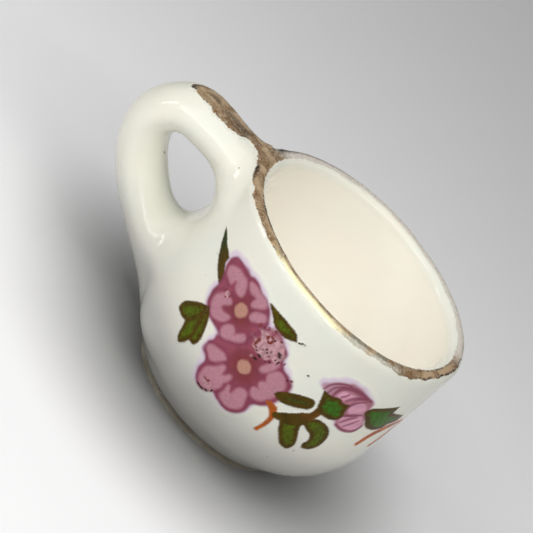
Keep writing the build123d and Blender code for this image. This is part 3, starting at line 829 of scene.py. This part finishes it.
from_handle = np.abs(np.degrees(turn) + 90)
ragged = round_rim(0.6, 61) + 0.3 * round_rim(0.24, 62) - 0.65
slow = round_rim(2.3, 63) - 0.5
right_end = ramp(48, 72, np.degrees(turn)) * ramp(125, 95, np.degrees(turn))
outer_edge = (38 + 20 * ragged + 14 * slow + 14 * right_end - 8 * ramp(17, 7, from_handle))[:, None]
inner_edge = (114 + 8 * ragged[::-1] + 7 * slow)[:, None]
margin = 7
phi = fade(outer_edge - margin, inner_edge + margin, np.linspace(0, 1, across))
rad = np.radians(phi)
ring = np.stack((np.cos(rad) * cx[:, None], np.cos(rad) * cy[:, None], np.sin(rad)), -1).reshape(-1, 3)
heart = np.stack((lip_centre[0] * cx, lip_centre[0] * cy, np.full(count, lip_centre[1])), 1)
start = np.repeat(heart, across, 0) + ring * 0.3
front, back = trace(start, ring, 0.016), trace(start, ring, -GOLD_DEPTH)
mm_per_degree = math.radians(1) * LIP
edge = np.minimum(phi - outer_edge, inner_edge - phi).ravel() * mm_per_degree
outer_gap = (phi - outer_edge).ravel() * mm_per_degree
chunk = (right_end[:, None] * ramp(0.3, 0.0, np.abs(phi - outer_edge - 8) / 40)).ravel()
bearing = np.repeat(np.degrees(turn), across)
phi = phi.ravel()


def sector(first, last, soft=8):
    """1 between two bearings round the rim, 0 elsewhere."""
    return ramp(first - soft, first + soft, bearing) * ramp(last + soft, last - soft, bearing)


near_front, right_front, far_side = sector(-26, 14), sector(14, 46), 1 - sector(-104, 98)
patchy = mottle(front[:, 0], front[:, 1], 0.55, 65)
# Where it is burnt: at the right end, by the handle and inside at the left. Outside behind the handle, along
# the rim's outer edge, a dark line is painted shade.
by_handle = np.repeat(ramp(26, 14, from_handle) * ramp(9, 13, from_handle), across)
by_handle *= ramp(0.3, 0.05, outer_gap)
dark = 0.8 * chunk * ramp(0.35, 0.6, mottle(front[:, 0], front[:, 1], 0.3, 64)) + 0.8 * by_handle
dark += 0.75 * sector(-62, 10) * ramp(92, 104, phi) * ramp(0.25, 0.5, patchy)
# Painted shade: a dark line along the rim's outer edge behind the handle
dark += 0.7 * sector(-150, -104) * ramp(84, 66, phi)
ink = gold_tint(*front.T, edge, dark)
# Tints by place round the rim: a painted highlight on the gold's outer edge at the front, and rosy, grey and
# faint tints elsewhere
for place, share_there, colour in (
    (near_front * ramp(84, 70, phi), 0.9, GOLD_PAINTED_HIGHLIGHT),
    (near_front * ramp(84, 92, phi) * ramp(104, 96, phi), 0.5, GOLD_ROSY),
    (right_front * ramp(0.2, 0.6, patchy), 0.75, GOLD_GREY),
    (far_side * ramp(54, 66, phi), 0.8, GOLD_FAINT),
):
    ink[:, :3] = fade(ink[:, :3], colour, (place * share_there)[:, None])
ink[:, 3] *= 1 - 0.4 * far_side * (1 - dark) - 0.35 * right_front * ramp(80, 60, phi)
index = np.arange(count * across).reshape(count, across)
rim_gold = shell("rim_lustre", front, back, grid_cells(np.concatenate((index, index[:1]))), ink)

# The gold along the handle's top, as an outline seen from above (x, y)
BAND = smooth_line(
    (
        (-13.5, -0.1), (-13.2, -0.5), (-12.6, -0.78), (-12.0, -0.95), (-11.2, -1.08), (-10.3, -1.0),
        (-9.75, -0.85), (-9.3, -0.42), (-8.8, -0.34), (-8.3, -0.7), (-7.9, -1.5), (-7.5, -1.9), (-7.3, 0),
        (-7.5, 2.3), (-7.95, 2.0), (-8.4, 1.35), (-9.2, 0.95), (-11.0, 1.05), (-12.4, 0.9), (-13.2, 0.5),
    ),
    True,
)
pitch = 0.045
xs = np.arange(-13.9, -8.0, pitch)
ys = np.arange(-1.6, 1.6, pitch)
gx, gy = (v.ravel() for v in np.meshgrid(xs, ys, indexing="ij"))
far = outline_distance(gx, gy, BAND)
far += 0.16 * (mottle(gx, gy, 0.4, 71) - 0.5) + 0.1 * (mottle(gx, gy, 0.16, 72) - 0.5)
cells = grid_cells(np.arange(len(gx)).reshape(len(xs), len(ys)))
cells = cells[(far[cells] < 0.08).any(1)]
used = np.unique(cells)
x, y = gx[used], gy[used]
above = np.stack((x, y, np.full(len(used), TOP + 0.2)), 1)
upwards = np.tile((0.0, 0.0, 1.0), (len(used), 1))
front, back = trace(above, upwards, 0.034), trace(above, upwards, -GOLD_DEPTH)
tip = ramp(-12.9, -13.4, x)
streak = ramp(0.75, 0.2, np.abs(y + 0.1)) * ramp(-12.9, -12.2, x) * ramp(-8.9, -9.5, x)
streak *= ramp(0.15, 0.6, mottle(x * 0.4, y, 0.3, 73))
ink = gold_tint(*front.T, -far[used], 0.8 * tip + 0.62 * streak)
handle_gold = shell("handle_lustre", front, back, cells, ink)


# ---- finishes
def mark_inside(piece):
    """Marks each point: 1 on the cup's inner face, 0 on its outer face."""
    mesh = piece.data
    places = np.zeros(len(mesh.vertices) * 3)
    mesh.vertices.foreach_get("co", places)
    x, y, z = places.reshape(-1, 3).T / MM
    values = ramp(0.2, 0.8, -look_up(block_table, np.hypot(x, y), z))
    mesh.attributes.new("inside", "FLOAT", "POINT").data.foreach_set("value", values.astype(np.float32))


def feed(socket, value):
    """Links a socket to another, or sets it to a number or a colour."""
    if isinstance(value, bpy.types.NodeSocket):
        socket.id_data.links.new(value, socket)
    else:
        socket.default_value = value if isinstance(value, (int, float)) else (*value, 1)


def node(tree, kind, inputs=None, **settings):
    """A new node. inputs names its sockets, and what feeds each."""
    made = tree.nodes.new(kind)
    for key, value in settings.items():
        setattr(made, key, value)
    for key, value in (inputs or {}).items():
        feed(made.inputs[key], value)
    return made


def mixed(tree, factor, a, b):
    """A colour mix. Each side is a socket or a colour."""
    return node(tree, "ShaderNodeMix", {0: factor, 6: a, 7: b}, data_type="RGBA").outputs[2]


def noise(tree, place, scale, detail):
    """Noise with a scale in features to the metre."""
    inputs = {"Vector": place, "Scale": scale, "Detail": detail}
    return node(tree, "ShaderNodeTexNoise", inputs).outputs["Fac"]


def between(tree, value, low, high, out_low=0.0, out_high=1.0):
    """A smooth ramp from one range to another."""
    inputs = {"Value": value, "From Min": low, "From Max": high, "To Min": out_low, "To Max": out_high}
    return node(tree, "ShaderNodeMapRange", inputs, interpolation_type="SMOOTHSTEP").outputs["Result"]


def blotches(tree, place, scale, detail, *levels):
    """Noise brought between levels."""
    return between(tree, noise(tree, place, scale, detail), *levels)


GLAZE_OUT = linear(231, 232, 222)
GLAZE_OUT_WARM = linear(233, 231, 218)
# Inside: the glaze's own warmer cream, painted lighter than outside as painted light on the lit interior
GLAZE_IN_LIT = linear(254, 249, 239)
GLAZE_IN_LIT_PALE = linear(253, 250, 241)
# Painted shade: the grey that the lower belly's glaze darkens to
GLAZE_PAINTED_SHADE = linear(187, 186, 181)
IRON_SPECK = linear(150, 140, 120)
BODY_PALE, BODY_DARK, BODY_GRIT = linear(176, 170, 156), linear(154, 146, 130), linear(118, 106, 88)


def glaze_colour(tree, place):
    """The glaze's colour: greenish cream outside, warmer inside and painted lighter there, a little uneven,
    with a few iron specks, and darkened low on the belly as painted shade.
    """
    uneven = blotches(tree, place, 240, 2, 0.35, 0.65)
    outside = mixed(tree, uneven, GLAZE_OUT, GLAZE_OUT_WARM)
    inner = mixed(tree, uneven, GLAZE_IN_LIT, GLAZE_IN_LIT_PALE)
    # Painted shade: low on the belly the glaze's colour darkens to grey
    height = node(tree, "ShaderNodeSeparateXYZ", {0: place}).outputs["Z"]
    outside = mixed(tree, between(tree, height, 0.0072, 0.0024), outside, GLAZE_PAINTED_SHADE)
    inside = node(tree, "ShaderNodeAttribute", attribute_name="inside").outputs["Fac"]
    both = mixed(tree, inside, outside, inner)
    return mixed(tree, blotches(tree, place, 2600, 1, 0.80, 0.84), both, IRON_SPECK)


def start_material(name):
    """A new material with its tree, shader and the place on the object in metres."""
    material = bpy.data.materials.new(name)
    material.use_nodes = True
    tree = material.node_tree
    shader = tree.nodes["Principled BSDF"]
    shader.inputs["IOR"].default_value = 1.4
    place = node(tree, "ShaderNodeTexCoord").outputs["Object"]
    return material, tree, shader, place


def add_bump(tree, shader, place, parts, distance):
    """Bump from several noises, each (scale, share), as deep as distance in metres."""
    height = 0
    for scale, weight in parts:
        inputs = {0: noise(tree, place, scale, 2), 1: weight, 2: height}
        height = node(tree, "ShaderNodeMath", inputs, operation="MULTIPLY_ADD").outputs[0]
    bump = node(tree, "ShaderNodeBump", {"Strength": 1, "Distance": distance, "Height": height})
    feed(shader.inputs["Normal"], bump.outputs["Normal"])


def finish(name, colour, roughness, bumps, depth):
    """A material from colour(tree, place), roughness (scale, detail, lowest, highest) and bumps."""
    material, tree, shader, place = start_material(name)
    feed(shader.inputs["Base Color"], colour(tree, place))
    scale, detail, lowest, highest = roughness
    feed(shader.inputs["Roughness"], blotches(tree, place, scale, detail, 0.3, 0.7, lowest, highest))
    add_bump(tree, shader, place, bumps, depth)
    return material, tree, shader


def inked(tree, place):
    """The colour attribute "ink" over the glaze, as strong as its alpha."""
    ink = node(tree, "ShaderNodeAttribute", attribute_name="ink")
    return mixed(tree, ink.outputs["Alpha"], glaze_colour(tree, place), ink.outputs["Color"])


def bare_colour(tree, place):
    base = mixed(tree, blotches(tree, place, 700, 4, 0.3, 0.7), BODY_PALE, BODY_DARK)
    return mixed(tree, blotches(tree, place, 5200, 2, 0.62, 0.72), base, BODY_GRIT)


glaze, tree, shader = finish(
    "creamy_glaze", glaze_colour, (420, 2, 0.07, 0.14), ((900, 1.0), (2600, 0.25)), 0.000012
)
enamel, tree, shader = finish(
    "printed_enamel", inked, (1500, 3, 0.12, 0.22), ((900, 1.0), (2600, 0.4)), 0.000012
)
shader.inputs["Specular IOR Level"].default_value = 0.14
lustre, tree, shader = finish(
    "gold_lustre", inked, (2400, 3, 0.18, 0.42), ((1100, 1.0), (3200, 0.4)), 0.000014
)
cover = node(tree, "ShaderNodeAttribute", attribute_name="ink").outputs["Alpha"]
feed(shader.inputs["Metallic"], between(tree, cover, 0.5, 1.0, 0.0, 0.5))
porcelain, tree, shader = finish(
    "bare_porcelain", bare_colour, (1800, 3, 0.62, 0.85), ((3800, 1.0), (9000, 0.5)), 0.00003
)


def dress(piece, material, inside=False):
    """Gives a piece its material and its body."""
    piece.data.materials.clear()
    piece.data.materials.append(material)
    if inside:
        mark_inside(piece)
    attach(piece, "root")


dress(glaze_coat, glaze, True)
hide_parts("body_glaze", "handle_glaze")
dress(rim_gold, lustre, True)
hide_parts("rim_gilding")
dress(handle_gold, lustre)
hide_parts("handle_gilding")
for name, piece in print_pieces.items():
    dress(piece, enamel)
    if name != "print_specks":
        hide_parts(name)
for name, material in (("cup_body", porcelain), ("handle", porcelain), ("foot_well_glaze", glaze)):
    for material_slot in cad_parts[name].material_slots:
        material_slot.material = material

# ---- floor, light and camera
# Painted shadow: the floor is darker close to the cup, like a soft contact shadow, so that little light
# comes up from it
FLOOR_PAINTED_SHADOW, FLOOR_FAR = (0.33, 0.33, 0.33), (0.93, 0.93, 0.95)
bpy.ops.mesh.primitive_circle_add(vertices=96, radius=0.4, fill_type="NGON")
floor = bpy.context.object
floor.name = "floor"
floor_material, tree, shader, place = start_material("pale_floor")
far_out = node(tree, "ShaderNodeVectorMath", {0: place}, operation="LENGTH").outputs["Value"]
pale = between(tree, far_out, 0.005, 0.018)
feed(shader.inputs["Base Color"], mixed(tree, pale, FLOOR_PAINTED_SHADOW, FLOOR_FAR))
shader.inputs["Roughness"].default_value = 0.9
shader.inputs["Specular IOR Level"].default_value = 0.1
floor.data.materials.append(floor_material)


def area_light(name, place, target, size, strength, colour=(1, 1, 1), size_y=None):
    """A soft light of a size in mm at a place, facing a target, as bright as strength."""
    light = bpy.data.lights.new(name, "AREA")
    light.shape = "RECTANGLE"
    light.size = size * MM
    light.size_y = (size_y or size) * MM
    light.energy = strength * math.pi * light.size * light.size_y
    light.color = colour
    lamp = add_object(name, light)
    place, target = Vector(place) * MM, Vector(target) * MM
    turned = (target - place).to_track_quat("-Z", "Y").to_matrix().to_4x4()
    lamp.matrix_world = Matrix.Translation(place) @ turned


def around(target, far, bearing, elevation):
    """A place at a distance from a target, at a bearing from the front and an elevation."""
    level, a = far * math.cos(math.radians(elevation)), math.radians(bearing)
    up = far * math.sin(math.radians(elevation))
    return target[0] + level * math.sin(a), target[1] - level * math.cos(a), target[2] + up


MIDDLE, RIM_HEIGHT = (0, 0, 8), (0, 0, 12)
area_light("overhead", (-6, -12, 80), MIDDLE, 60, 1.18)
area_light("front_softbox", around(MIDDLE, 110, 0, 50), MIDDLE, 180, 2.05, (1, 0.99, 0.93), 60)
for bearing in (-50, -25, 0, 25, 50):
    place = around(RIM_HEIGHT, 95, bearing, 37)
    area_light(f"front_strip_{bearing}", place, RIM_HEIGHT, 44, 10.0, size_y=3)
area_light("left_window", (-75, -22, 40), (-6, 0, 8), 12, 7.0, size_y=34)
world = bpy.data.worlds.new("room")
world.use_nodes = True
background = world.node_tree.nodes["Background"]
background.inputs["Color"].default_value = (1, 1, 1, 1)
background.inputs["Strength"].default_value = 0.22
bpy.context.scene.world = world
bpy.context.scene.view_settings.view_transform = "Standard"

# The cup was photographed from the front and a little above, with the camera rolled
azimuth, elevation, roll = (math.radians(a) for a in (-0.4, 25.5, 48.75))
distance, view_width, sensor = 500.0, 29.13, 36.0
mouth_right, mouth_up = -5.13, -0.10  # where the picture's middle lies from the mouth's centre
tilt = math.cos(elevation)
back = Vector((math.sin(azimuth) * tilt, -math.cos(azimuth) * tilt, math.sin(elevation)))
level = Vector((math.cos(azimuth), math.sin(azimuth), 0))
upright = back.cross(level)
right = level * math.cos(roll) + upright * math.sin(roll)
up = upright * math.cos(roll) - level * math.sin(roll)
aim = Vector((0, 0, TOP - 0.15)) + right * mouth_right + up * mouth_up
camera_data = bpy.data.cameras.new("camera")
camera_data.sensor_width = sensor
camera_data.lens = sensor * distance / view_width
camera_data.clip_start, camera_data.clip_end = 0.01, 10
camera = add_object("camera", camera_data)
spin = Matrix((right, up, back)).transposed().to_4x4()
camera.matrix_world = Matrix.Translation((aim + back * distance) * MM) @ spin
bpy.context.scene.camera = camera
